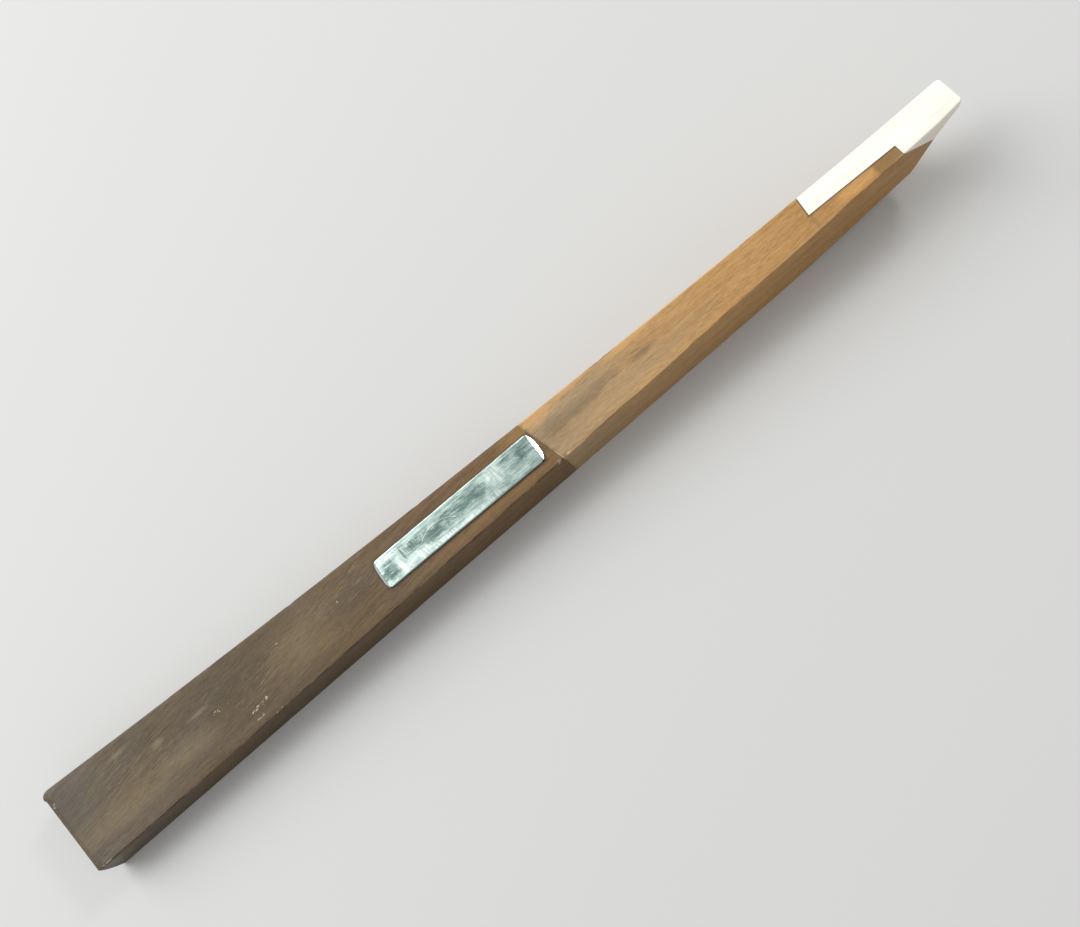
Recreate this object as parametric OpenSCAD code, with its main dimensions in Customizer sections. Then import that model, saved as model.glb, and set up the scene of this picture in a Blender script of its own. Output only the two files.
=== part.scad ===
// Edge slicker: a slim tapered hand tool for burnishing leather edges.
// A dark hardwood handle and a lighter fore stock meet at a doweled butt joint.
// A metal plate is inlaid in the handle, and a bone tip is let into the narrow end.
// X runs from the butt to the tip, +Z is up, and the origin is the middle of the footprint.

/* [Blank] */
// Length overall, from the round butt to the end of the tip
tool_l = 191; // [186:0.5:198]
// Width across the butt
butt_w = 17.6; // [16:0.1:19]
// Width of the narrow end
tip_w = 5.45; // [5:0.05:5.8]
// How hollow the curved edge is: 1 is a straight taper
taper_power = 1.31; // [1.2:0.01:1.5]
// Thickness at the butt
butt_t = 6.8; // [6:0.1:8]
// Thickness where the underside starts to lift
nose_t = 12.05; // [11.5:0.05:13]
// How hollow the top is along its length: 1 is a flat ramp
rise_power = 1.4; // [1.3:0.1:1.9]

/* [Butt] */
// How far the round butt stands out past its top edge
butt_bulge = 1.25; // [0.8:0.05:1.8]
// Angle of the butt to a square cut
butt_skew = 9.6; // [5:0.1:12]
// Corner radius where the butt meets the curved edge
butt_corner_r = 1.2; // [0.5:0.1:2]

/* [Joint] */
// Where the joint crosses the straight edge
seam_x = 109.7; // [109.5:0.1:113]
// Angle of the joint to a square cut
seam_skew = 14; // [8:0.5:16]
// Diameter of the hidden dowel
dowel_d = 4; // [3:0.5:4.5]
// Length of the hidden dowel
dowel_l = 26; // [16:1:28]
// Room left at each end of the dowel for glue
dowel_gap = 0.5; // [0.2:0.1:1]

/* [Inlaid plate] */
// Length of the plate between the tops of its curved ends
plate_l = 34.4; // [30:0.1:34.8]
// Width of the plate
plate_w = 5.55; // [4.5:0.05:5.8]
// Thickness of the plate
plate_t = 1.6; // [1.2:0.1:2]
// How far the plate stands above the wood
plate_proud = 0.35; // [0.2:0.05:0.5]
// Middle of the plate, measured from the butt
plate_x = 90.7; // [88:0.1:91]
// Middle of the plate, measured from the straight edge
plate_y = 5.25; // [4.9:0.05:5.4]
// Angle between the plate and the straight edge
plate_turn = 1.95; // [1:0.05:3]
// Radius of the curved ends of the plate
plate_end_r = 5.9; // [5:0.1:9]
// Slope of the bevel on each end of the plate
plate_bevel = 32; // [20:1:45]
// Dark filler left round and under the plate
bed_t = 0.25; // [0.15:0.05:0.4]

/* [Tip] */
// Where the head of the tip starts, measured from the butt
scarf_x = 179.4; // [178:0.1:181]
// Where the tail of the tip starts, measured from the butt
tail_x = 163.2; // [158:0.1:168]
// Lean of the end of the tail, away from square, in degrees
tail_skew = 9; // [0:1:20]
// Wood left beside the tail at its start
cheek_w = 2.95; // [2.2:0.05:3.2]
// Wood left beside the tail where the head starts
cheek_end_w = 2; // [1.6:0.05:2.6]
// Thickness of the tip at its very end
tip_t = 1.5; // [1:0.1:2]
// Corner radius of the tip on the curved edge
tip_corner_r = 0.8; // [0.6:0.1:2.2]
// Corner radius of the tip on the straight edge
tip_small_r = 0.5; // [0.3:0.1:1]

/* [Nose] */
// Where the underside starts to lift, measured from the butt
lift_x = 157; // [150:1:160]
// Lower corner of the nose, measured from the butt
heel_x = 182.2; // [180:0.1:183]
// Height of the lower corner of the nose
heel_z = 2.9; // [2:0.1:4]
// Point of the wooden beak, measured from the butt
beak_x = 186; // [184.5:0.1:187]
// Height of the point of the wooden beak
beak_z = 8.7; // [8:0.1:9]

/* [Hidden] */
$fn = 96;

over = 5;                                   // how far cutting shapes run past the wood
edge_steps = 30;                            // flats along each long curve
arc_steps = 8;                              // flats round a corner
corner_x = butt_bulge + butt_corner_r;      // where the tool is widest
tall = 20;                                  // taller than any part of the tool
round_r = (pow(butt_t / 2, 2) + pow(butt_bulge, 2)) / (2 * butt_bulge);
plate_sag = plate_end_r - sqrt(pow(plate_end_r, 2) - pow(plate_w / 2, 2));
plate_seat = plate_t - plate_proud;
dowel_x = seam_x - tan(seam_skew) * left_y(seam_x) / 2;
dowel_y = left_y(seam_x) / 2;
dowel_z = top_z(seam_x) / 2 - 0.5;
dowel_chamfer = 0.5;
straight_end_y = 0.3;                       // the straight edge closes in by this at the tip

// Distance of the curved edge from the straight edge
function left_y(x) =
    tip_w + (butt_w - tip_w) * pow(max(0, tool_l - x) / (tool_l - corner_x), taper_power);
// Height of the top face
function top_z(x) = butt_t + (nose_t - butt_t) * pow(max(0, x) / lift_x, rise_power);
// Slope of the top face, in degrees
function top_slope(x) = atan((top_z(x + 1) - top_z(x - 1)) / 2);
// Points round a corner
function arc(x, y, r, from, to) =
    [for (i = [0:arc_steps]) let (a = from + (to - from) * i / arc_steps) [x + r * cos(a), y + r * sin(a)]];

// Moves the bench frame, butt at X = 0 and straight edge at Y = 0, to the middle of the footprint
module centred() {
    translate([-tool_l / 2, -butt_w / 2, 0]) children();
}

// Seen from above
module outline() {
    curve_from = corner_x;
    curve_to = tool_l - tip_corner_r;
    head_y = left_y(curve_to);
    polygon(concat(
        [[tan(butt_skew) * butt_w, 0], [beak_x, 0]],
        arc(tool_l - tip_small_r, straight_end_y + tip_small_r, tip_small_r, -75, 0),
        arc(tool_l - tip_corner_r, head_y - tip_corner_r, tip_corner_r, 0, 90),
        [for (i = [1:edge_steps]) let (x = curve_to + (curve_from - curve_to) * i / edge_steps) [x, left_y(x)]],
        arc(butt_corner_r, butt_w - butt_corner_r, butt_corner_r, 100, 180)
    ));
}

// Seen from the straight edge
module side_view() {
    polygon(concat(
        [for (i = [0:edge_steps]) let (x = tool_l * i / edge_steps) [x, top_z(x)]],
        [[tool_l, top_z(tool_l) - tip_t], [beak_x, beak_z], [heel_x, heel_z], [lift_x, 0], [0, 0]]
    ));
}

// A shape drawn in the side view, as wide as the tool and a little more
module across() {
    translate([0, butt_w + over, 0]) rotate([90, 0, 0]) linear_extrude(butt_w + 2 * over) children();
}

// Everything in front of the round butt, which lies at an angle
module butt_limit() {
    translate([0, butt_w, 0]) rotate([0, 0, butt_skew]) translate([round_r, over, butt_t / 2]) {
        rotate([90, 0, 0]) cylinder(r = round_r, h = butt_w + 3 * over);
        translate([0, -tool_l / 2, -tall / 2]) cube([2 * tool_l, tool_l, 2 * tall]);
    }
}

// The whole tool as one block of wood, before it is divided
module blank() {
    intersection() {
        linear_extrude(tall) outline();
        across() side_view();
        butt_limit();
    }
}

// Everything beyond the joint
module fore_space() {
    translate([seam_x, 0, -over]) rotate([0, 0, seam_skew]) translate([0, -tool_l / 2, 0])
        cube([tool_l, tool_l, tall + over]);
}

// The sloping seat of the head, and the rebate that holds the tail
module tip_space() {
    across() polygon([
        [scarf_x, top_z(scarf_x)], [beak_x, beak_z], [tool_l + over, beak_z],
        [tool_l + over, tall], [scarf_x, tall]
    ]);
    translate([0, 0, beak_z]) linear_extrude(tall) polygon([
        [tail_x, cheek_w], [scarf_x, cheek_end_w], [beak_x, cheek_end_w],
        [beak_x, butt_w], [tail_x + tan(tail_skew) * (butt_w - cheek_w), butt_w]
    ]);
}

// Stands its children on the sloping top of the handle, where the plate lies
module at_plate() {
    translate([plate_x, plate_y, top_z(plate_x)])
        rotate([0, -top_slope(plate_x), -plate_turn]) children();
}

// Outline of the plate, grown by a margin
module plate_outline(grow) {
    end_r = plate_end_r + grow;
    end_x = plate_l / 2 - plate_end_r;
    half_w = plate_w / 2 + grow;
    intersection() {
        square([plate_l + 2 * grow, 2 * half_w], center = true);
        union() {
            translate([end_x, 0]) circle(end_r);
            translate([-end_x, 0]) circle(end_r);
            square([2 * end_x, 2 * half_w], center = true);
        }
    }
}

// The hole in the wood for the plate and its filler
module plate_space() {
    at_plate() translate([0, 0, -plate_seat - bed_t]) linear_extrude(over) plate_outline(bed_t);
}

// The dowel hole, right through the joint
module dowel_space() {
    length = dowel_l + 2 * dowel_gap;
    translate([dowel_x - length / 2, dowel_y, dowel_z]) rotate([0, 90, 0]) cylinder(d = dowel_d, h = length);
}

module handle() {
    color("#6b5f4e") centred() difference() {
        blank();
        fore_space();
        plate_space();
        dowel_space();
    }
}

module fore_stock() {
    color("#a58d63") centred() difference() {
        intersection() {
            blank();
            fore_space();
        }
        tip_space();
        dowel_space();
    }
}

// The ends are bevelled from a straight line on the top down to the curved edge
module plate_solid() {
    at_plate() difference() {
        translate([0, 0, -plate_seat]) linear_extrude(plate_t) plate_outline(0);
        for (turn = [0, 180]) rotate([0, 0, turn])
            translate([plate_l / 2 - plate_sag, 0, plate_proud]) rotate([0, plate_bevel, 0])
                translate([0, -plate_w, 0]) cube([over, 2 * plate_w, over]);
    }
}

module inlay_plate() {
    color("#a9bfb6") centred() plate_solid();
}

// The filler ends level with the wood
module plate_bedding() {
    color("#2b231c") centred() difference() {
        intersection() {
            plate_space();
            blank();
        }
        plate_solid();
    }
}

module bone_tip() {
    color("#fbf8f2") centred() intersection() {
        blank();
        tip_space();
    }
}

module joint_dowel() {
    color("#c9a877") centred() translate([dowel_x - dowel_l / 2, dowel_y, dowel_z]) rotate([0, 90, 0]) {
        cylinder(d1 = dowel_d - 2 * dowel_chamfer, d2 = dowel_d, h = dowel_chamfer);
        translate([0, 0, dowel_chamfer]) cylinder(d = dowel_d, h = dowel_l - 2 * dowel_chamfer);
        translate([0, 0, dowel_l - dowel_chamfer])
            cylinder(d1 = dowel_d, d2 = dowel_d - 2 * dowel_chamfer, h = dowel_chamfer);
    }
}

handle();
fore_stock();
inlay_plate();
plate_bedding();
bone_tip();
joint_dowel();
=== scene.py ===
"""Looks of the edge slicker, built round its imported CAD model.

The whole tool is made as one worn block, which is then divided along its joints, so that the pieces meet as
the real ones do. The plate and its bedding are made on their own, and the dowel keeps its CAD shape.
"""

import math

import bmesh
import bpy
from mathutils import Matrix, Vector, noise


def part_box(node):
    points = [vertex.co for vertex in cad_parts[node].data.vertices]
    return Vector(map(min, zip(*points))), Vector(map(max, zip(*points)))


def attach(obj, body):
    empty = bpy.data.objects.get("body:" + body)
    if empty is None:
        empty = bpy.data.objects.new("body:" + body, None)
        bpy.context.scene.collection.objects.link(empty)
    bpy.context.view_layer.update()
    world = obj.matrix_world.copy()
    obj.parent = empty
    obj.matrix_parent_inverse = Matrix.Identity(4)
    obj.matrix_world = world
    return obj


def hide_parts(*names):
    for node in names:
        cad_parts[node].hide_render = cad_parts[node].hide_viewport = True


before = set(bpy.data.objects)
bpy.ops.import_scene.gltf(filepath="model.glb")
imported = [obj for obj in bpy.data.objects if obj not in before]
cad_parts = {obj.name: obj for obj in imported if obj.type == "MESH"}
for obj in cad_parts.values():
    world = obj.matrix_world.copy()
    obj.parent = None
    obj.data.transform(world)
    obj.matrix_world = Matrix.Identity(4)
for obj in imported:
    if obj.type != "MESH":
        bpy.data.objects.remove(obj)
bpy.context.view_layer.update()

# ---------------------------------------------------------------- sizes
# Millimetres on the bench: X from the butt, Y from the straight edge, Z from the rest face.
MM = 0.001
TOOL_L, BUTT_W, TIP_W, TAPER_POWER = 191.0, 17.6, 5.45, 1.31
BUTT_T, NOSE_T, RISE_POWER = 6.8, 12.05, 1.4
BUTT_BULGE, BUTT_SKEW, BUTT_CORNER_R = 1.25, 9.6, 1.2
SEAM_X, SEAM_SKEW = 109.7, 14.0
PLATE_L, PLATE_W, PLATE_T, PLATE_PROUD = 34.4, 5.55, 1.6, 0.35
PLATE_X, PLATE_Y, PLATE_TURN, PLATE_END_R, PLATE_BEVEL = 90.7, 5.25, 1.95, 5.9, 32.0
BED_T, BED_SUNK = 0.25, 0.03
SCARF_X, TAIL_X, TAIL_SKEW, CHEEK_W, CHEEK_END_W = 179.4, 163.2, 9.0, 2.95, 2.0
TIP_T, TIP_CORNER_R, TIP_SMALL_R, TIP_EDGE_Y = 1.5, 0.8, 0.5, 0.3
LIFT_X, HEEL_X, HEEL_Z, BEAK_X, BEAK_Z = 157.0, 182.2, 2.9, 186.0, 8.7
BUTT_FADE = 25.0    # how far the lean and the bulge of the butt reach into the wood
WIDEST_X = BUTT_BULGE + BUTT_CORNER_R
BUTT_R = (BUTT_T ** 2 / 4 + BUTT_BULGE ** 2) / (2 * BUTT_BULGE)
PLATE_SAG = PLATE_END_R - math.sqrt(PLATE_END_R ** 2 - PLATE_W ** 2 / 4)    # depth of its curved ends
PLATE_FLAT = PLATE_L / 2 - PLATE_SAG                                        # where its bevels start
PLATE_CORNER, PLATE_CORNER_REACH, PLATE_RIM_R = 0.22, 0.6, 0.16             # how worn its rim is
EDGE_R = 0.22       # how far use has rounded the long edges
NOSE_EASE = 0.45    # and the corners under the nose
SWAY_RIGHT, SWAY_LEFT, SWAY_TOP = 0.012, 0.025, 0.018       # how uneven its faces are
TOP_DEPTH = 0.6     # marks of the top reach this far down
FINE_FROM = 12.0    # the rows of points are closer together in this last stretch
GAP = 0.03          # hairline between pieces that are glued together
TIP_GAP = 0.08      # the wider glue line round the bone
LINE_W = 0.28       # how far that glue line has darkened the wood
SHY = 0.01          # keeps the plate and its bedding from lying in one plane
OVER = 5.0          # how far cutting shapes run past the wood
STEP = 0.01         # keeps the floors of two cutting shapes apart
TALL = 20.0         # taller than any part of the tool
TO_ROW = Matrix.Scale(MM, 4) @ Matrix.Translation((-TOOL_L / 2, -BUTT_W / 2, 0))
RIM = [0.0, 0.07, 0.15, 0.24]       # rows of points that follow each edge
FLATS_Y, FLATS_Z = 18, 12           # faces between them, across and up
# Small knocks on the top edges: bench X, 1 for the hollow edge or 0 for the straight one, depth, reach
KNOCKS = [(4.3, 0, 0.18, 0.8), (22.5, 0, 0.08, 0.6), (33, 0, 0.08, 0.7), (45.5, 0, 0.1, 0.8),
          (58, 1, 0.1, 0.9), (71, 0, 0.06, 0.6), (86, 1, 0.08, 0.8), (97, 0, 0.08, 0.7),
          (110.0, 0, 0.14, 0.7), (124, 1, 0.08, 0.8), (152, 1, 0.08, 0.8)]

# ---------------------------------------------------------------- studio, in metres and watts
FLOOR_COLOUR = (0.56, 0.56, 0.55, 1.0)
FLOOR_SIZE = 4.0
FLOOR_DROP = 0.00002    # keeps the floor and the flat underside of the tool apart
SKY = 0.6
KEY_AT, KEY_SIZE, KEY_WATTS = Vector((-0.45, 0.55, 0.62)), 0.8, 10.0
ALONG_AT, ALONG_SIZE, ALONG_WATTS = Vector((0.49, 0.17, 0.33)), 0.1, 0.7
LIGHTS_AIM = Vector((0.0, 0.0, 0.005))
SENSOR_W, LENS = 36.0, 33.333       # millimetres
CAMERA_AT = Vector((0.022135, -0.055011, 0.163130))
CAMERA_AIM = Vector((0.010645, -0.006441, 0.009))
CAMERA_ROLL = 39.871    # degrees


def left_y(x):
    """Distance of the hollow edge from the straight edge."""
    share = max(0.0, TOOL_L - x) / (TOOL_L - WIDEST_X)
    return TIP_W + (BUTT_W - TIP_W) * min(1.0, share) ** TAPER_POWER


def top_z(x):
    return BUTT_T + (NOSE_T - BUTT_T) * (max(0.0, x) / LIFT_X) ** RISE_POWER


def under_z(x):
    """The underside: flat, then a slow lift, then the two facets of the nose."""
    nose = [(HEEL_X, HEEL_Z), (BEAK_X, BEAK_Z), (TOOL_L, top_z(TOOL_L) - TIP_T)]
    line = [(0, 0), (LIFT_X, 0)] + nose
    for (x0, z0), (x1, z1) in zip(line, line[1:]):
        if x <= x1:
            return z0 + (z1 - z0) * (x - x0) / (x1 - x0)
    return line[-1][1]


def eased(curve, x, reach):
    """A curve with its corners eased over a short reach."""
    steps = 8
    return sum(curve(x + reach * (2 * i / steps - 1)) for i in range(steps + 1)) / (steps + 1)


def drift(a, b, size, seed):
    """Slow random drift over a surface, between about -1 and 1."""
    return noise.noise(Vector((a / size, b / size, seed)))


# ---------------------------------------------------------------- mesh helpers
def to_object(name, bm, sharp=35):
    """Turns a mesh in bench millimetres into a smooth-shaded object in the row frame."""
    bmesh.ops.recalc_face_normals(bm, faces=bm.faces)
    mesh = bpy.data.meshes.new(name)
    bm.to_mesh(mesh)
    bm.free()
    mesh.transform(TO_ROW)
    mesh.shade_smooth()
    mesh.set_sharp_from_angle(angle=math.radians(sharp))
    obj = bpy.data.objects.new(name, mesh)
    bpy.context.scene.collection.objects.link(obj)
    return obj


def prism(outline, low, high, to_bench=Matrix.Identity(4)):
    """A closed prism over an outline in X and Y, between two heights."""
    bm = bmesh.new()
    face = bm.faces.new([bm.verts.new((x, y, low)) for x, y in outline])
    lifted = bmesh.ops.extrude_face_region(bm, geom=[face])["geom"]
    lifted = [v for v in lifted if isinstance(v, bmesh.types.BMVert)]
    bmesh.ops.translate(bm, verts=lifted, vec=(0, 0, high - low))
    bmesh.ops.recalc_face_normals(bm, faces=bm.faces)
    bm.transform(to_bench)
    return bm


def carve(bm, cutter, operation="DIFFERENCE"):
    """One exact boolean of two bench meshes. The cutter is used up."""
    parts = []
    for source in (bm, cutter):
        mesh = bpy.data.meshes.new("carving")
        source.to_mesh(mesh)
        source.free()
        parts.append(bpy.data.objects.new("carving", mesh))
        bpy.context.scene.collection.objects.link(parts[-1])
    cut = parts[0].modifiers.new("cut", "BOOLEAN")
    cut.object, cut.operation, cut.solver = parts[1], operation, "EXACT"
    graph = bpy.context.evaluated_depsgraph_get()
    out = bmesh.new()
    out.from_mesh(parts[0].evaluated_get(graph).to_mesh())
    for obj in parts:
        mesh = obj.data
        bpy.data.objects.remove(obj)
        bpy.data.meshes.remove(mesh)
    bmesh.ops.remove_doubles(out, verts=out.verts, dist=1e-4)
    return out


# ---------------------------------------------------------------- the shaped blank
def spread(count, size):
    """Distances across a face: close together at both rims, even between them."""
    inner = [RIM[-1] + (size - 2 * RIM[-1]) * i / count for i in range(1, count)]
    return RIM + inner + [size - d for d in reversed(RIM)]


def stations():
    """Distances along the tool, closer together at both ends and at the corners of the nose."""
    marks = [0, 0.07, 0.15, 0.24, 0.4, 0.6, 0.85, 1.15, 1.5]
    while marks[-1] < TOOL_L - FINE_FROM:
        marks.append(marks[-1] + 0.6)
    while marks[-1] < TOOL_L - TIP_CORNER_R - 0.2:
        marks.append(marks[-1] + 0.25)
    quarter = [TOOL_L - TIP_CORNER_R * (1 - math.sin(math.radians(a))) for a in range(0, 90, 9)]
    return marks + [x for x in quarter if x > marks[-1] + 0.03] + [TOOL_L - 0.006, TOOL_L]


def corner_drop(distance, radius):
    """How far a round corner has fallen away, this far from the end of the tool."""
    inside = max(0.0, radius - distance)
    return radius - math.sqrt(max(0.0, radius ** 2 - inside ** 2))


def rounded(point, size, radius):
    """Moves a point of a box's surface onto that box with round edges."""
    inner = Vector([min(max(p, radius), n - radius) for p, n in zip(point, size)])
    out = Vector(point) - inner
    return inner + out.normalized() * radius if out.length > 1e-9 else Vector(point)


def on_blank(s, share_y, share_z, row_y, row_z):
    """Where a point of the lattice lies: s along, and a row number across and up."""
    lean = math.tan(math.radians(BUTT_SKEW))
    fade = max(0.0, 1 - s / BUTT_FADE) ** 2
    level = BUTT_T * (share_z - 0.5)
    bulge = BUTT_R - math.sqrt(BUTT_R ** 2 - level ** 2)
    x = s + fade * (lean * BUTT_W * (1 - share_y) + bulge)
    right = TIP_EDGE_Y * max(0.0, (x - BEAK_X) / (TOOL_L - BEAK_X)) + SWAY_RIGHT * drift(x, 0, 16, 3.1)
    right += corner_drop(TOOL_L - x, TIP_SMALL_R)
    left = left_y(x) + SWAY_LEFT * drift(x, 0, 13, 7.7)
    left -= corner_drop(TOOL_L - x, TIP_CORNER_R) + corner_drop(s, BUTT_CORNER_R)
    under = eased(under_z, x, NOSE_EASE)
    width, height = left - right, top_z(x) - under
    radius = EDGE_R * (1 + 0.15 * drift(x, share_y * 9 + share_z * 5, 5, 1.9))
    boxed = (s, spread(FLATS_Y, width)[row_y], spread(FLATS_Z, height)[row_z])
    p = rounded(boxed, (TOOL_L, width, height), radius)
    crown = SWAY_TOP * drift(x, p.y, 11, 5.3) * share_z
    return Vector((x + p.x - s, right + p.y, under + p.z + crown))


def knock(p):
    """Presses the small knocks into the top edges."""
    for x, side, depth, reach in KNOCKS:
        edge = Vector((x, left_y(x) if side else 0.0, top_z(x)))
        far = (p - edge).length / reach
        if far < 1:
            p += Vector((0, -1 if side else 1, -1)).normalized() * depth * (1 - far * far) ** 2
    return p


def blank():
    """The whole tool as one closed, worn block, before it is divided."""
    along = stations()
    last = (len(along) - 1, FLATS_Y + 2 * len(RIM) - 2, FLATS_Z + 2 * len(RIM) - 2)
    bm = bmesh.new()
    known = {}

    def vert(i, j, k):
        if (i, j, k) not in known:
            p = on_blank(along[i], j / last[1], k / last[2], j, k)
            known[i, j, k] = bm.verts.new(knock(p))
        return known[i, j, k]

    def side(axis, value):
        a, b = [n for n in range(3) if n != axis]
        for m in range(last[a]):
            for n in range(last[b]):
                corners = []
                for dm, dn in ((0, 0), (1, 0), (1, 1), (0, 1)):
                    index = [0, 0, 0]
                    index[axis], index[a], index[b] = value, m + dm, n + dn
                    corners.append(vert(*index))
                bm.faces.new(corners)

    for axis in range(3):
        side(axis, 0)
        side(axis, last[axis])
    bmesh.ops.recalc_face_normals(bm, faces=bm.faces)
    return bm


# ---------------------------------------------------------------- the shapes that divide it
def seam_space(shift):
    """Everything beyond the joint."""
    turn = Matrix.Translation((SEAM_X + shift, 0, 0)) @ Matrix.Rotation(math.radians(SEAM_SKEW), 4, "Z")
    half = TOOL_L / 2
    return prism([(0, -half), (TOOL_L, -half), (TOOL_L, half), (0, half)], -OVER, TALL, turn)


def head_space(grow):
    """The sloping seat of the head of the tip, right across the tool."""
    slope = [(SCARF_X - grow, top_z(SCARF_X)), (BEAK_X - grow, BEAK_Z - grow)]
    seat = slope + [(TOOL_L + OVER, BEAK_Z - grow), (TOOL_L + OVER, TALL), (SCARF_X - grow, TALL)]
    stand_up = Matrix.Rotation(math.radians(90), 4, "X")
    return prism(seat, -BUTT_W - OVER, OVER, stand_up)


def tail_space(grow):
    """The rebate for the tail of the tip, along the hollow edge."""
    lean = math.tan(math.radians(TAIL_SKEW)) * (BUTT_W + OVER - CHEEK_W)
    cheek = [(TAIL_X - grow, CHEEK_W - grow), (SCARF_X, CHEEK_END_W - grow), (BEAK_X, CHEEK_END_W - grow)]
    floor = cheek + [(BEAK_X, BUTT_W + OVER), (TAIL_X - grow + lean, BUTT_W + OVER)]
    return prism(floor, BEAK_Z - grow + STEP, TALL + OVER)


def plate_frame():
    """Stands on the sloping top of the handle, where the plate lies."""
    slope = math.atan((top_z(PLATE_X + 1) - top_z(PLATE_X - 1)) / 2)
    middle = Matrix.Translation((PLATE_X, PLATE_Y, top_z(PLATE_X)))
    turn = Matrix.Rotation(math.radians(-PLATE_TURN), 4, "Z")
    return middle @ turn @ Matrix.Rotation(-slope, 4, "Y")


def plate_outline(grow, flats=14):
    """The plate's edge: two curved ends, and straight sides between them."""
    half_w, end_r, end_x = PLATE_W / 2 + grow, PLATE_END_R + grow, PLATE_L / 2 - PLATE_END_R
    swing = math.asin(half_w / end_r)
    angles = [swing * (2 * i / flats - 1) for i in range(flats + 1)]
    far_end = [(end_x + end_r * math.cos(a), end_r * math.sin(a)) for a in angles]
    return far_end + [(-x, -y) for x, y in far_end]


def plate_hole(grow):
    return prism(plate_outline(grow), PLATE_PROUD - PLATE_T - BED_T - grow, OVER, plate_frame())


def dowel_hole():
    """The dowel's own box gives the hole: it is as wide, and a little longer."""
    low, high = (TO_ROW.inverted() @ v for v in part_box("joint_dowel"))
    middle, radius, length = (low + high) / 2, (high.y - low.y) / 2, high.x - low.x + 1
    bm = bmesh.new()
    bmesh.ops.create_cone(bm, cap_ends=True, segments=48, radius1=radius, radius2=radius, depth=length)
    bm.transform(Matrix.Translation(middle) @ Matrix.Rotation(math.radians(90), 4, "Y"))
    return bm


# ---------------------------------------------------------------- marks that the materials use
def wear_marks(bm):
    """Gives every point its distance to the nearest outer edge, and whether it is on the top."""
    edge = bm.verts.layers.float.new("edge")
    top = bm.verts.layers.float.new("top")
    lean = math.tan(math.radians(BUTT_SKEW))
    for v in bm.verts:
        x, y, z = v.co
        butt = x - lean * (BUTT_W - y) * max(0.0, 1 - x / BUTT_FADE) ** 2
        across = min(abs(y), abs(left_y(x) - y))
        upward = min(abs(top_z(x) - z), abs(z - under_z(x)))
        v[edge] = sorted((across, upward, abs(butt), abs(TOOL_L - x)))[1]
        v[top] = 1.0 if top_z(x) - z < TOP_DEPTH else 0.0


# ---------------------------------------------------------------- the pieces
def handle_wood():
    bm = carve(blank(), seam_space(-GAP / 2))
    bm = carve(bm, plate_hole(GAP / 2))
    bm = carve(bm, dowel_hole())
    wear_marks(bm)
    return to_object("handle_wood", bm)


def fore_stock_wood():
    bm = carve(blank(), seam_space(GAP / 2), "INTERSECT")
    for cutter in (head_space(TIP_GAP), tail_space(TIP_GAP), dowel_hole()):
        bm = carve(bm, cutter)
    wear_marks(bm)
    return to_object("fore_stock_wood", bm)


def tip_bone():
    cutter = carve(head_space(0), tail_space(0), "UNION")
    bm = carve(blank(), cutter, "INTERSECT")
    wear_marks(bm)
    return to_object("tip_bone", bm)


def plate_rows():
    """Shares from one rim of the plate to the other, closer together at the rims."""
    rim = [0.0, 0.01, 0.025, 0.05]
    inner = [0.05 + 0.9 * i / 16 for i in range(1, 16)]
    return rim + inner + [1 - r for r in reversed(rim)]


def plate_top(x, y):
    """Height of the plate's top: flat, bevelled ends, eased rims, and a little uneven from wear."""
    z = PLATE_PROUD - math.tan(math.radians(PLATE_BEVEL)) * max(0.0, abs(x) - PLATE_FLAT)
    z -= corner_drop(PLATE_W / 2 - abs(y), PLATE_RIM_R)
    return z + 0.025 * drift(x, y * 1.5, 2.6, 4.4) + 0.012 * drift(x, y, 0.9, 8.2)


def plate_metal():
    """The plate: a dense worn top, straight walls and a flat back."""
    flats = 90
    middle = [(PLATE_FLAT * (2 * i / flats - 1), 0.0) for i in range(flats + 1)]
    ends = [0.06, 0.15, 0.3, 0.5, 0.7, 0.85, 0.95, 1.0]
    columns = [(-PLATE_FLAT, e) for e in reversed(ends)] + middle + [(PLATE_FLAT, e) for e in ends]
    bm = bmesh.new()
    grid = []
    for x, end in columns:
        row = []
        eased_corner = PLATE_CORNER * max(0.0, 1 + (abs(x) - PLATE_FLAT) / PLATE_CORNER_REACH) ** 2
        for share in plate_rows():
            y = (PLATE_W - 2 * eased_corner) * (share - 0.5)
            reach = math.sqrt(PLATE_END_R ** 2 - y * y) - (PLATE_END_R - PLATE_SAG)
            px = x + math.copysign(end * reach, x)
            py = y + 0.03 * drift(px, y, 1.7, 2.2) * abs(2 * share - 1) ** 6
            row.append(bm.verts.new((px, py, plate_top(px, y))))
        grid.append(row)
    for low, high in zip(grid, grid[1:]):
        for i in range(len(low) - 1):
            bm.faces.new((low[i], low[i + 1], high[i + 1], high[i]))
    bmesh.ops.remove_doubles(bm, verts=bm.verts, dist=1e-3)
    rim = [e for e in bm.edges if e.is_boundary]
    walls = bmesh.ops.extrude_edge_only(bm, edges=rim)["geom"]
    for v in walls:
        if isinstance(v, bmesh.types.BMVert):
            v.co.z = PLATE_PROUD - PLATE_T
    bmesh.ops.contextual_create(bm, geom=[e for e in bm.edges if e.is_boundary])
    bm.transform(plate_frame())
    return to_object("plate_metal", bm, sharp=25)


def plate_filler():
    """The dark bedding: a thin tray round and under the plate."""
    seat = PLATE_PROUD - PLATE_T
    tray = prism(plate_outline(BED_T), seat - BED_T, -BED_SUNK, plate_frame())
    hollow = prism(plate_outline(SHY), seat - SHY, OVER, plate_frame())
    return to_object("plate_filler", carve(tray, hollow))


# ---------------------------------------------------------------- materials
# Places and reaches of marks are bench millimetres. On the plate they are counted from its middle.
def srgb(*levels):
    """Screen colour, 0 to 255, as the linear colour a shader takes."""
    shares = [n / 255 for n in levels]
    return tuple(s / 12.92 if s <= 0.04045 else ((s + 0.055) / 1.055) ** 2.4 for s in shares) + (1.0,)


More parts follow.
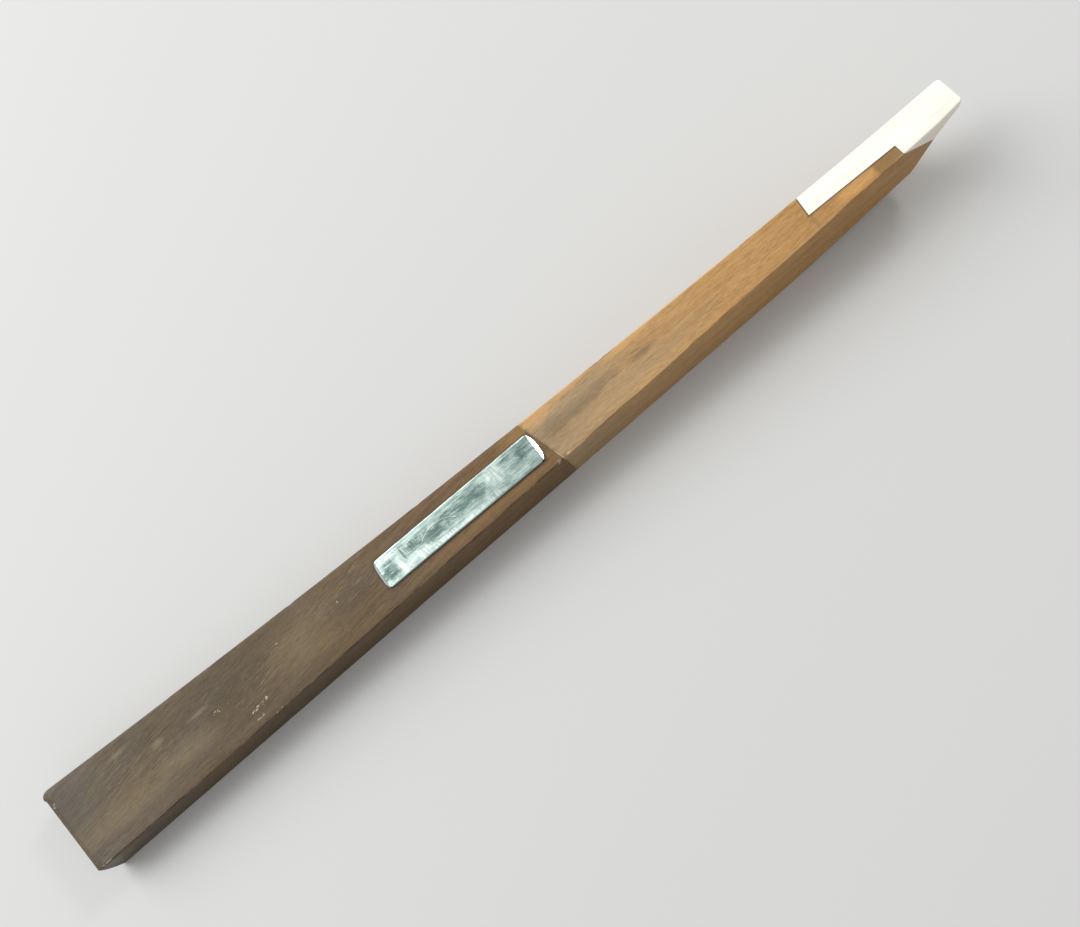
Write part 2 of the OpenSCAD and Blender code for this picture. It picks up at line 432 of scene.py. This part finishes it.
class Paint:
    """Builds one node material. Every method adds nodes and gives back the socket they end in."""

    def __init__(self, name):
        self.material = bpy.data.materials.new(name)
        self.material.use_nodes = True
        self.tree = self.material.node_tree
        self.shader = self.tree.nodes["Principled BSDF"]
        row = self.add("ShaderNodeTexCoord").outputs["Object"]
        self.bench = self.mapped(row, (1 / MM,) * 3, (TOOL_L / 2, BUTT_W / 2, 0))
        apart = self.add("ShaderNodeSeparateXYZ")
        self.feed(apart.inputs[0], self.bench)
        self.x, self.y = apart.outputs[0], apart.outputs[1]

    def add(self, kind, **settings):
        node = self.tree.nodes.new(kind)
        for key, value in settings.items():
            setattr(node, key, value)
        return node

    def feed(self, socket, value):
        if isinstance(value, bpy.types.NodeSocket):
            self.tree.links.new(value, socket)
        else:
            socket.default_value = value

    def mapped(self, vector, scale=(1, 1, 1), shift=(0, 0, 0), turn=0.0):
        node = self.add("ShaderNodeMapping")
        self.feed(node.inputs["Vector"], vector)
        self.feed(node.inputs["Scale"], scale)
        self.feed(node.inputs["Location"], shift)
        self.feed(node.inputs["Rotation"], (0, 0, math.radians(turn)))
        return node.outputs[0]

    def math(self, operation, *values):
        node = self.add("ShaderNodeMath", operation=operation)
        for socket, value in zip(node.inputs, values):
            self.feed(socket, value)
        return node.outputs[0]

    def noise(self, stretch, detail=3.0, rough=0.55, vector=None, seed=0.0):
        node = self.add("ShaderNodeTexNoise", noise_dimensions="3D")
        stretched = self.mapped(vector or self.bench, stretch, (seed, seed * 0.7, seed * 1.3))
        self.feed(node.inputs["Vector"], stretched)
        self.feed(node.inputs["Scale"], 1.0)
        self.feed(node.inputs["Detail"], detail)
        self.feed(node.inputs["Roughness"], rough)
        return node.outputs["Fac"]

    def rings(self, vector, axis, scale, distortion, detail, detail_scale):
        """Waves that spread in rings round one axis."""
        node = self.add("ShaderNodeTexWave", wave_type="RINGS", rings_direction=axis, wave_profile="SIN")
        self.feed(node.inputs["Vector"], vector)
        self.feed(node.inputs["Scale"], scale)
        self.feed(node.inputs["Distortion"], distortion)
        self.feed(node.inputs["Detail"], detail)
        self.feed(node.inputs["Detail Scale"], detail_scale)
        return node.outputs["Fac"]

    def fade(self, value, low, high, start=0.0, end=1.0):
        """Smoothly turns low to high into start to end."""
        node = self.add("ShaderNodeMapRange", interpolation_type="SMOOTHSTEP")
        for socket, setting in zip(node.inputs, (value, low, high, start, end)):
            self.feed(socket, setting)
        return node.outputs[0]

    def blend(self, share, a, b, mode="MIX"):
        node = self.add("ShaderNodeMix", data_type="RGBA", blend_type=mode)
        share_in, a_in, b_in, out = node.inputs[0], node.inputs[6], node.inputs[7], node.outputs[2]
        for socket, value in ((share_in, share), (a_in, a), (b_in, b)):
            self.feed(socket, value)
        return out

    def gradient(self, value, stops):
        """Colour along a value: stops are (value from 0 to 1, colour)."""
        node = self.add("ShaderNodeValToRGB")
        self.feed(node.inputs[0], value)
        line = node.color_ramp.elements
        while len(line) < len(stops):
            line.new(1.0)
        for element, (position, colour) in zip(line, stops):
            element.position = position
            element.color = colour
        return node.outputs[0]

    def attribute(self, name):
        return self.add("ShaderNodeAttribute", attribute_name=name).outputs["Fac"]

    def spot(self, centre, reach, ragged=0.5, soft=0.3, vector=None, grit=1.2, turn=0.0):
        """A soft-edged patch round a point in X and Y: 1 in the middle and 0 outside."""
        flat = self.mapped(vector or self.bench, (1, 1, 0), (-centre[0], -centre[1], 0))
        near = self.mapped(self.mapped(flat, turn=turn), (1 / reach[0], 1 / reach[1], 0))
        length = self.add("ShaderNodeVectorMath", operation="LENGTH")
        self.feed(length.inputs[0], near)
        torn = self.noise((grit * 0.5, grit, grit), 6, 0.7, vector, centre[0])
        offset = self.math("SUBTRACT", torn, 0.5)
        away = self.math("MULTIPLY_ADD", offset, ragged * 2, length.outputs["Value"])
        return self.fade(away, 1 + soft, 1 - soft)

    def spots(self, places, **settings):
        """Several patches together: places are (x, y, reach in X, reach in Y)."""
        total = 0.0
        for x, y, reach_x, reach_y in places:
            total = self.math("MAXIMUM", total, self.spot((x, y), (reach_x, reach_y), **settings))
        return total

    def times(self, first, second):
        return self.math("MULTIPLY", first, second)

    def mark(self, colour, share, amount, tint):
        """Lays a tint over a colour, only on the top of the tool."""
        return self.tint(colour, self.times(share, self.attribute("top")), amount, tint)

    def tint(self, colour, share, amount, tint):
        """Lays a tint over a colour: amount is how strong it is where the share is 1."""
        return self.blend(self.times(share, amount), colour, tint)

    def finish(self, colour, roughness, height, depth, **constants):
        """Connects colour, roughness and relief, with its depth in millimetres, and sets the rest."""
        self.feed(self.shader.inputs["Base Color"], colour)
        self.feed(self.shader.inputs["Roughness"], roughness)
        bump = self.add("ShaderNodeBump")
        self.feed(bump.inputs["Height"], height)
        self.feed(bump.inputs["Strength"], 1.0)
        self.feed(bump.inputs["Distance"], depth * MM)
        self.feed(self.shader.inputs["Normal"], bump.outputs[0])
        for name, value in constants.items():
            self.feed(self.shader.inputs[name.replace("_", " ")], value)
        return self.material


def grain(p, tilt, ring_scale):
    """Wood figure through the solid: growth rings, long fibres and open pores, each from 0 to 1."""
    wander = p.noise((0.03, 0.14, 0.14), 2, seed=3)
    bent = p.add("ShaderNodeVectorMath", operation="MULTIPLY_ADD")
    p.feed(bent.inputs[0], wander)
    p.feed(bent.inputs[1], (0.0, 2.6, 2.6))
    p.feed(bent.inputs[2], p.mapped(p.bench, turn=tilt))
    along = bent.outputs[0]
    heart = p.mapped(along, (1, 1, 1), (0, 31, 24))
    rings = p.rings(heart, "X", ring_scale, 2.2, 2.0, 0.25)
    fibres = p.noise((0.06, 2.0, 2.0), 5, 0.62, along)
    pores = p.noise((0.22, 4.2, 4.2), 2, 0.5, along, seed=9)
    return rings, fibres, p.fade(pores, 0.62, 0.72), along


def dark_wood():
    """The handle: a hazy grey-brown hardwood, warmer towards the plate, with small pale nicks."""
    p = Paint("dark_wood")
    rings, fibres, pores, along = grain(p, -5, 0.17)
    far = p.math("DIVIDE", p.x, SEAM_X)
    deep = p.gradient(far, [(0.0, srgb(68, 59, 48)), (0.3, srgb(66, 51, 32)), (0.45, srgb(63, 49, 29)),
                            (0.6, srgb(70, 53, 29)), (0.95, srgb(88, 62, 34))])
    pale = p.gradient(far, [(0.0, srgb(89, 79, 66)), (0.3, srgb(87, 68, 43)), (0.45, srgb(84, 66, 40)),
                            (0.6, srgb(95, 74, 43)), (0.95, srgb(118, 88, 50))])
    figure = p.math("MULTIPLY_ADD", rings, 0.2, p.times(p.fade(fibres, 0.25, 0.75), 0.8))
    colour = p.blend(figure, deep, pale)
    mottle = p.noise((0.07, 0.16, 0.16), 5, 0.65, seed=5)
    colour = p.blend(p.fade(mottle, 0.5, 0.75, 0, 0.3), colour, srgb(106, 91, 66))
    colour = p.blend(p.fade(mottle, 0.46, 0.25, 0, 0.35), colour, srgb(58, 46, 32))
    streak = p.spots([(14, 5.2, 11, 2.2), (27, 5.6, 8, 1.6), (57, 6.5, 8, 3.4)],
                     ragged=0.7, soft=0.7, grit=0.8)
    colour = p.mark(colour, streak, 0.4, srgb(120, 103, 69))
    shade = p.spots([(4, 13, 5, 3), (26, 7.3, 1.2, 0.6), (21, 12.5, 5, 1.6), (37, 9.5, 9, 3.5),
                     (67, 6.5, 6, 2.5)], ragged=0.7, soft=0.7)
    colour = p.mark(colour, shade, 0.4, srgb(52, 43, 30))
    sunny = p.spot((96, 1.3), (13, 0.9), ragged=0.8, soft=0.7)
    colour = p.mark(colour, sunny, 0.25, srgb(134, 102, 58))
    golden = p.spot((106.6, 8.5), (3.8, 1.2), ragged=1.0, soft=0.6, grit=1.6)
    colour = p.mark(colour, golden, 0.5, srgb(150, 114, 64))
    bloom = p.spots([(24.5, 10.3, 1.2, 0.6), (33.5, 9.5, 2, 0.3), (17, 13.8, 2, 0.3)],
                    ragged=1.4, soft=0.7, grit=4)
    colour = p.mark(colour, bloom, 0.3, srgb(150, 138, 114))
    fine = p.noise((0.7, 7.0, 7.0), 5, 0.75, along, seed=31)
    colour = p.blend(p.fade(fine, 0.45, 0.75, 0, 0.4), colour, srgb(126, 110, 74))
    colour = p.blend(p.fade(fine, 0.5, 0.25, 0, 0.5), colour, srgb(44, 36, 22))
    colour = p.tint(colour, pores, 0.3, srgb(48, 39, 30))
    combed = p.fade(p.noise((0.3, 6.5, 6.5), 3, 0.6, p.mapped(p.bench, turn=-9), seed=21), 0.56, 0.66)
    combed = p.times(combed, p.spots([(49, 6.6, 8, 3.0), (69, 9, 7, 3), (18, 9, 10, 5)], soft=0.7))
    colour = p.mark(colour, combed, 0.35, srgb(152, 139, 106))
    edge = p.attribute("edge")
    patchy = p.noise((0.25, 0.5, 0.5), 5, 0.7, seed=14)
    worn = p.times(p.fade(edge, 0.3, 0.06), p.fade(patchy, 0.5, 0.62))
    colour = p.tint(colour, worn, 0.5, srgb(126, 103, 74))
    grime = p.times(p.fade(edge, 0.3, 0.05), p.fade(patchy, 0.54, 0.42))
    colour = p.tint(colour, grime, 0.7, srgb(38, 30, 24))
    chipped = p.spots([(44.6, 3.3, 1.5, 0.5), (42.4, 2.9, 1.0, 0.35), (43.0, 1.5, 1.2, 0.35),
                       (36.7, 7.4, 0.8, 0.4), (46.2, 0.3, 0.9, 0.3), (5.0, 0.25, 1.8, 0.35),
                       (2.1, 14.3, 0.8, 0.5), (108.9, 0.2, 0.7, 0.3)], soft=0.4)
    nicks = nick_marks(p, chipped, -14)
    dots = p.spots([(52.2, 9.4, 0.28, 0.1), (65.1, 7.7, 0.1, 0.24)], ragged=0.4, grit=5)
    nicks = p.math("MAXIMUM", nicks, p.times(dots, 0.6))
    colour = p.mark(colour, nicks, 0.75, srgb(204, 193, 164))
    stain = p.fade(plate_distance(p), 0.6, 0.0)
    colour = p.mark(colour, stain, 0.5, srgb(52, 41, 30))
    rough = p.fade(mottle, 0.3, 0.7, 0.42, 0.6)
    relief = p.math("SUBTRACT", p.math("ADD", fibres, p.times(fine, 0.4)),
                    p.math("ADD", p.times(pores, 0.8), nicks))
    return p.finish(colour, rough, relief, 0.03, Specular_IOR_Level=0.28)


def nick_marks(p, where, turn):
    """Small pale strokes where the wood has been chipped, inside the patches given."""
    strokes = p.noise((1.3, 5.0, 1.0), 3, 0.6, p.mapped(p.bench, turn=turn), seed=27)
    return p.fade(p.math("MULTIPLY_ADD", where, 0.3, strokes), 0.83, 0.88)


def plate_frame_xy(p):
    """The plate's own X and Y for a material: X along it and Y across, from its middle."""
    shift = Matrix.Rotation(math.radians(PLATE_TURN), 4, "Z") @ Vector((-PLATE_X, -PLATE_Y, 0))
    return p.mapped(p.bench, (1, 1, 1), tuple(shift), PLATE_TURN)


def plate_distance(p):
    """Distance outwards from the plate's edge, in X and Y."""
    apart = p.add("ShaderNodeSeparateXYZ")
    p.feed(apart.inputs[0], plate_frame_xy(p))
    along = p.math("SUBTRACT", p.math("ABSOLUTE", apart.outputs[0]), PLATE_L / 2 - 0.3)
    across = p.math("SUBTRACT", p.math("ABSOLUTE", apart.outputs[1]), PLATE_W / 2)
    return p.math("MAXIMUM", along, across)


def light_wood():
    """The fore stock: golden brown, greyer and smudged by the seam, darker by the bone."""
    p = Paint("light_wood")
    rings, fibres, pores, along = grain(p, 2, 0.13)
    first, last = 105, 181      # the stretch over which its colour changes
    far = p.math("DIVIDE", p.math("SUBTRACT", p.x, first), last - first)
    deep = p.gradient(far, [(0.0, srgb(126, 106, 78)), (0.25, srgb(142, 110, 73)),
                            (0.5, srgb(154, 114, 66)), (0.8, srgb(146, 106, 58))])
    pale = p.gradient(far, [(0.0, srgb(150, 129, 97)), (0.25, srgb(166, 133, 91)),
                            (0.5, srgb(178, 138, 84)), (0.8, srgb(172, 129, 75))])
    figure = p.math("MULTIPLY_ADD", rings, 0.3, p.times(p.fade(fibres, 0.25, 0.75), 0.7))
    colour = p.blend(figure, deep, pale)
    mottle = p.noise((0.06, 0.2, 0.2), 5, 0.65, seed=6)
    colour = p.blend(p.fade(mottle, 0.5, 0.75, 0, 0.35), colour, srgb(190, 150, 96))
    colour = p.blend(p.fade(mottle, 0.48, 0.25, 0, 0.3), colour, srgb(132, 111, 74))
    fine = p.noise((0.6, 6.0, 6.0), 5, 0.75, along, seed=32)
    colour = p.blend(p.fade(fine, 0.45, 0.75, 0, 0.5), colour, srgb(206, 168, 116))
    colour = p.blend(p.fade(fine, 0.5, 0.25, 0, 0.55), colour, srgb(104, 80, 48))
    colour = p.tint(colour, pores, 0.25, srgb(100, 74, 42))
    # Orange patches in the wood, and on the cheek beside the bone a painted highlight.
    orange_and_highlight = p.spots([(110.6, 8.6, 3.6, 1.3), (118.5, 8.8, 5, 0.8), (129, 7.8, 5, 0.6),
                      (171, 1.4, 3.4, 0.9)], ragged=0.9, soft=0.6, grit=1.6)
    colour = p.mark(colour, orange_and_highlight, 0.5, srgb(206, 157, 96))
    smudge = p.spots([(112.3, 5.2, 2.6, 1.5), (121.6, 5.4, 3.2, 0.6), (130.2, 4.6, 2.4, 0.5),
                      (116, 5.0, 7, 1.0)], ragged=1.0, soft=0.7, grit=1.4)
    colour = p.mark(colour, smudge, 0.6, srgb(98, 82, 58))
    ash = p.spots([(124, 2.6, 14, 1.6), (118, 6.5, 8, 1.5), (178.3, 0.9, 0.7, 0.4)],
                  ragged=0.8, soft=0.8, grit=0.8)
    colour = p.mark(colour, ash, 0.3, srgb(146, 134, 108))
    # An olive strip beside the tail of the bone, and a thin line at the end of the tail
    olive = p.times(p.fade(p.x, 174.4, 175.2), p.fade(p.x, 180.4, 179.6))
    line = p.times(p.fade(p.x, TAIL_X - 0.5, TAIL_X - 0.1), p.fade(p.x, TAIL_X + 0.5, TAIL_X + 0.1))
    olive = p.times(p.math("MAXIMUM", olive, p.times(line, 0.5)), p.fade(p.y, 3.2, 2.9))
    colour = p.mark(colour, olive, 0.65, srgb(118, 94, 58))
    colour = p.mark(colour, bone_line(p), 0.85, srgb(62, 44, 26))
    edge = p.attribute("edge")
    patchy = p.noise((0.1, 0.5, 0.5), 4, 0.6, seed=15)
    worn = p.times(p.fade(edge, 0.4, 0.08), p.fade(patchy, 0.4, 0.56))
    colour = p.tint(colour, worn, 0.55, srgb(206, 168, 114))
    grime = p.times(p.fade(edge, 0.3, 0.05), p.fade(patchy, 0.42, 0.32))
    colour = p.tint(colour, grime, 0.6, srgb(86, 62, 38))
    past = seam_distance(p)
    soot = p.fade(p.math("ADD", past, p.times(fibres, 1.2)), 1.2, 0.5)
    colour = p.tint(colour, soot, 0.45, srgb(84, 70, 50))
    glue = p.times(p.fade(past, 0.3, 0.12), p.fade(p.y, 2.6, 1.2))
    colour = p.mark(colour, glue, 0.6, srgb(190, 168, 132))
    chipped = p.spot((110.5, 0.2), (0.8, 0.35), soft=0.4)
    colour = p.mark(colour, nick_marks(p, chipped, 8), 0.7, srgb(210, 190, 156))
    rough = p.fade(mottle, 0.3, 0.7, 0.45, 0.62)
    relief = p.math("SUBTRACT", p.math("ADD", fibres, p.times(fine, 0.4)), p.times(pores, 0.9))
    return p.finish(colour, rough, relief, 0.03, Specular_IOR_Level=0.3)


def bone_line(p):
    """The thin dark line that glue and dirt leave in the wood, along the tail of the bone."""
    lean = math.tan(math.radians(TAIL_SKEW))
    before = p.math("SUBTRACT", p.math("MULTIPLY_ADD", p.y, lean, TAIL_X - CHEEK_W * lean), p.x)
    slope = (CHEEK_END_W - CHEEK_W) / (SCARF_X - TAIL_X)
    beside = p.math("SUBTRACT", p.math("MULTIPLY_ADD", p.x, slope, CHEEK_W - TAIL_X * slope), p.y)
    outside = p.math("MAXIMUM", before, beside)
    return p.fade(outside, LINE_W, LINE_W / 3)


def seam_distance(p):
    """Distance past the joint between the two woods."""
    lean = math.tan(math.radians(SEAM_SKEW))
    beyond = p.math("SUBTRACT", p.x, SEAM_X)
    return p.times(p.math("MULTIPLY_ADD", p.y, lean, beyond), math.cos(math.radians(SEAM_SKEW)))


def plate_finish():
    """Pale scratched metal with dull streaks, hatching and a few curved scratches, with painted highlights
    on its rim and bevelled ends.
    """
    p = Paint("plate_metal")
    flat = plate_frame_xy(p)
    brushed = p.noise((0.16, 3.6, 3.6), 5, 0.7, flat)
    fine = p.noise((0.7, 17.0, 17.0), 4, 0.65, flat, seed=4)
    cloud = p.noise((0.4, 0.8, 0.8), 6, 0.7, flat, seed=2)
    scuffs = p.noise((0.3, 4.0, 4.0), 5, 0.7, p.mapped(flat, turn=16), seed=17)
    colour = p.blend(p.fade(cloud, 0.32, 0.68), srgb(104, 122, 116), srgb(140, 156, 150))
    colour = p.blend(p.fade(brushed, 0.5, 0.62, 0, 0.65), colour, srgb(170, 184, 178))
    colour = p.blend(p.fade(brushed, 0.48, 0.36, 0, 0.5), colour, srgb(86, 104, 99))
    colour = p.blend(p.fade(scuffs, 0.56, 0.7, 0, 0.55), colour, srgb(178, 188, 184))
    dull = p.spots([(-7.4, 0.5, 3.0, 0.9), (-5.0, -0.2, 3.4, 1.0), (-2.0, 0.6, 2.2, 0.8),
                    (0.4, 0.2, 2.4, 0.9), (2.2, 0.6, 2.0, 0.8), (4.6, 0.4, 1.6, 1.2),
                    (14.6, 0.7, 1.5, 1.2), (-14.8, -0.3, 1.3, 1.9), (11.0, 1.6, 1.2, 0.4)],
                   ragged=1.3, soft=0.4, vector=flat, grit=3.2)
    torn = p.noise((0.45, 2.2, 2.2), 6, 0.75, p.mapped(flat, turn=5), seed=23)
    dull = p.times(dull, p.fade(torn, 0.42, 0.54, 0.35, 1.0))
    colour = p.tint(colour, dull, 0.9, srgb(73, 92, 88))
    lines = p.fade(p.noise((4.5, 0.5, 0.5), 3, 0.6, p.mapped(flat, turn=-14), seed=7), 0.46, 0.6)
    hatched = p.spots([(-11.5, 0.6, 1.0, 1.2), (-9.4, 1.0, 1.8, 0.4), (-6.8, 0.9, 1.4, 0.3)],
                      ragged=0.9, soft=0.5, vector=flat, grit=3)
    black = p.times(lines, hatched)
    colour = p.tint(colour, black, 0.7, srgb(46, 58, 57))
    cross = p.fade(p.noise((3.4, 0.35, 0.35), 4, 0.65, p.mapped(flat, turn=-12), seed=11), 0.45, 0.62)
    bright = p.spots([(-12.7, -0.9, 0.6, 1.8), (-14.4, 1.9, 1.9, 0.5), (8.6, 0.8, 1.4, 1.7),
                      (7.4, -2.0, 0.6, 0.4), (-9.5, -1.6, 2.6, 0.9), (-4, -2.2, 4, 0.4), (3, -2.2, 5, 0.4)],
                     ragged=0.9, soft=0.6, vector=flat, grit=2.2)
    colour = p.blend(p.times(bright, p.fade(cross, 0, 1, 0.3, 0.9)), colour, srgb(188, 198, 194))
    arcs = p.rings(p.mapped(flat, (1, 1, 0), (4.4, 4.6, 0)), "Z", 0.14, 1.0, 1.0, 0.5)
    arc = p.times(p.fade(arcs, 0.985, 1.0), p.spot((-4.4, 0.2), (3.6, 2.0), vector=flat))
    colour = p.tint(colour, arc, 0.5, srgb(178, 190, 186))
    # Painted highlight: a light band painted along the plate's rounded rim.
    rim = p.fade(plate_distance(p), -0.22, -0.02)
    colour = p.tint(colour, rim, 0.7, srgb(190, 200, 196))
    apart = p.add("ShaderNodeSeparateXYZ")
    p.feed(apart.inputs[0], flat)
    # Painted highlight: the bevelled ends are painted near-white, and made a little smoother.
    bevel_highlight = p.fade(p.math("ABSOLUTE", apart.outputs[0]), PLATE_FLAT, PLATE_FLAT + 0.2)
    colour = p.tint(colour, bevel_highlight, 0.85, srgb(222, 230, 227))
    rough = p.math("ADD", p.fade(brushed, 0.3, 0.7, 0.4, 0.28), p.times(dull, 0.14))
    rough = p.math("SUBTRACT", rough, p.times(bevel_highlight, 0.08))
    relief = p.math("ADD", p.times(brushed, 0.5), p.times(fine, 0.3))
    relief = p.math("ADD", relief, p.times(scuffs, 0.3))
    relief = p.math("SUBTRACT", relief, p.times(p.math("ADD", black, arc), 0.4))
    return p.finish(colour, rough, relief, 0.008, Metallic=0.92)


def bone():
    """Polished bone: almost white, with faint long streaks, tiny dark pores, cream edges and painted shade
    on its sides.
    """
    p = Paint("bone")
    streaks = p.noise((0.05, 1.4, 1.4), 4, 0.6)
    pores = p.fade(p.noise((0.5, 6.0, 6.0), 2, 0.5, seed=8), 0.68, 0.76)
    mottle = p.noise((0.15, 0.3, 0.3), 3, 0.5, seed=12)
    colour = p.blend(p.fade(streaks, 0.3, 0.7), srgb(231, 227, 217), srgb(241, 238, 231))
    colour = p.blend(p.fade(mottle, 0.5, 0.75, 0, 0.5), colour, srgb(224, 217, 198))
    colour = p.tint(colour, pores, 0.35, srgb(196, 178, 146))
    edge = p.fade(p.attribute("edge"), 0.4, 0.0, 0, 0.3)
    colour = p.blend(edge, colour, srgb(232, 218, 186))
    # Painted shade: the sides of the bone are painted a darker, warmer cream than its top.
    side = p.fade(p.attribute("top"), 1.0, 0.0, 0.0, 0.4)
    colour = p.blend(side, colour, srgb(230, 214, 184))
    rough = p.fade(streaks, 0.3, 0.7, 0.28, 0.4)
    relief = p.math("SUBTRACT", streaks, p.times(pores, 0.8))
    p.shader.subsurface_method = "BURLEY"
    radius = (0.0012, 0.0009, 0.0006)
    return p.finish(colour, rough, relief, 0.01, Subsurface_Weight=0.12, Subsurface_Radius=radius,
                    Subsurface_Scale=1.0)


def pitch():
    """The dark filler round the plate."""
    p = Paint("pitch")
    lumps = p.noise((1.6, 1.6, 1.6), 4, 0.6)
    colour = p.blend(p.fade(lumps, 0.35, 0.7), srgb(30, 25, 20), srgb(64, 54, 42))
    return p.finish(colour, p.fade(lumps, 0.3, 0.7, 0.35, 0.65), lumps, 0.05)


def dowel_wood():
    """The hidden dowel: plain pale hardwood."""
    p = Paint("dowel_wood")
    rings, fibres, pores, _ = grain(p, 0, 0.2)
    colour = p.blend(p.fade(fibres, 0.3, 0.7), srgb(166, 134, 92), srgb(205, 176, 130))
    colour = p.tint(colour, rings, 0.25, srgb(148, 112, 70))
    colour = p.tint(colour, pores, 0.5, srgb(110, 82, 52))
    return p.finish(colour, 0.6, fibres, 0.03)


# ---------------------------------------------------------------- putting it together
def place(piece, node, material):
    """Gives a piece its material and its place in the part."""
    piece.data.materials.clear()
    piece.data.materials.append(material)
    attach(piece, "root")
    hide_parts(node)


def build_tool():
    place(handle_wood(), "handle", dark_wood())
    place(fore_stock_wood(), "fore_stock", light_wood())
    place(tip_bone(), "bone_tip", bone())
    place(plate_metal(), "inlay_plate", plate_finish())
    place(plate_filler(), "plate_bedding", pitch())
    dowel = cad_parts["joint_dowel"]
    dowel.data.materials.clear()
    dowel.data.materials.append(dowel_wood())


def build_floor():
    bm = bmesh.new()
    bmesh.ops.create_grid(bm, x_segments=1, y_segments=1, size=FLOOR_SIZE)
    mesh = bpy.data.meshes.new("floor")
    bm.to_mesh(mesh)
    bm.free()
    floor = bpy.data.objects.new("floor", mesh)
    bpy.context.scene.collection.objects.link(floor)
    paint = bpy.data.materials.new("floor")
    paint.use_nodes = True
    shader = paint.node_tree.nodes["Principled BSDF"]
    shader.inputs["Base Color"].default_value = FLOOR_COLOUR
    shader.inputs["Roughness"].default_value = 0.9
    shader.inputs["Specular IOR Level"].default_value = 0.1
    mesh.materials.append(paint)
    floor.location.z = -FLOOR_DROP


def soft_light(name, location, size, watts):
    """A square area light that faces the tool."""
    light = bpy.data.lights.new(name, "AREA")
    light.size, light.energy = size, watts
    lamp = bpy.data.objects.new(name, light)
    lamp.location = location
    lamp.rotation_euler = (LIGHTS_AIM - location).to_track_quat("-Z", "Y").to_euler()
    bpy.context.scene.collection.objects.link(lamp)


def build_studio():
    world = bpy.data.worlds.new("studio")
    world.use_nodes = True
    sky = world.node_tree.nodes["Background"]
    sky.inputs["Color"].default_value = (1.0, 1.0, 1.0, 1.0)
    sky.inputs["Strength"].default_value = SKY
    bpy.context.scene.world = world
    bpy.context.scene.view_settings.view_transform = "Standard"
    soft_light("key", KEY_AT, KEY_SIZE, KEY_WATTS)
    soft_light("along", ALONG_AT, ALONG_SIZE, ALONG_WATTS)


def build_camera():
    """The photograph's viewpoint: steeply down on the tool from its straight side, and rolled."""
    data = bpy.data.cameras.new("camera")
    data.sensor_width = SENSOR_W
    data.lens = LENS
    data.clip_start = 0.005
    camera = bpy.data.objects.new("camera", data)
    back = (CAMERA_AT - CAMERA_AIM).normalized()
    level_right = Vector((0, 1, 0)).cross(back).normalized()
    level_up = back.cross(level_right)
    roll = math.radians(CAMERA_ROLL)
    up = math.cos(roll) * level_up + math.sin(roll) * level_right
    right = math.cos(roll) * level_right - math.sin(roll) * level_up
    turn = Matrix((right, up, back)).transposed().to_4x4()
    camera.matrix_world = Matrix.Translation(CAMERA_AT) @ turn
    bpy.context.scene.collection.objects.link(camera)
    bpy.context.scene.camera = camera


build_tool()
build_floor()
build_studio()
build_camera()
